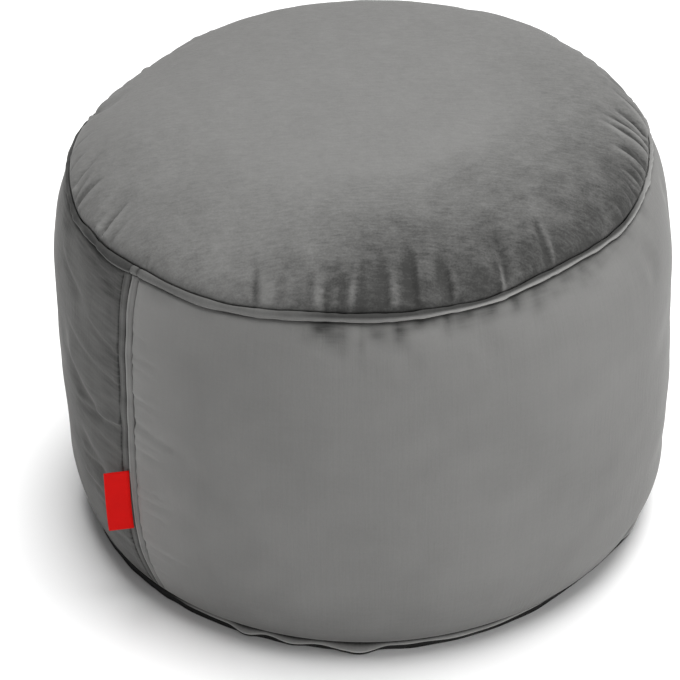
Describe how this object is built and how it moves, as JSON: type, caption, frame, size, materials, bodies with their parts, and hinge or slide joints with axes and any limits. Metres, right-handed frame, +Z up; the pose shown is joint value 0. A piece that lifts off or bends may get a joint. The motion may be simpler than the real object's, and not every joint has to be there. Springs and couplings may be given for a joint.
{
  "type": "round velvet bean bag footstool",
  "caption": "Round filled velvet pouf with a crowned top, a sewn top welt, flat-stitched upright seams, a welted foot and a bare red seam tab.",
  "frame": {"origin": "centre of the flat base, on the floor", "axes": "+Z up through the crown, -Y towards the front, +X to the right as seen from the front"},
  "size_m": [0.499, 0.5, 0.365],
  "materials": {
    "velvet": "short cut pile, grey, with a soft sheen",
    "velvet_against_the_nap": "the same grey pile, brushed the other way and darker",
    "red_woven_tape": "plain woven red tape"
  },
  "bodies": {
    "root": {"filled_body": "velvet", "top_welt": "velvet", "bottom_welt": "velvet_against_the_nap", "front_seam_left_band": "velvet_against_the_nap", "front_seam_right_band": "velvet", "back_seam_left_band": "velvet", "back_seam_right_band": "velvet_against_the_nap", "label_tab": "red_woven_tape"}
  },
  "joints": []
}
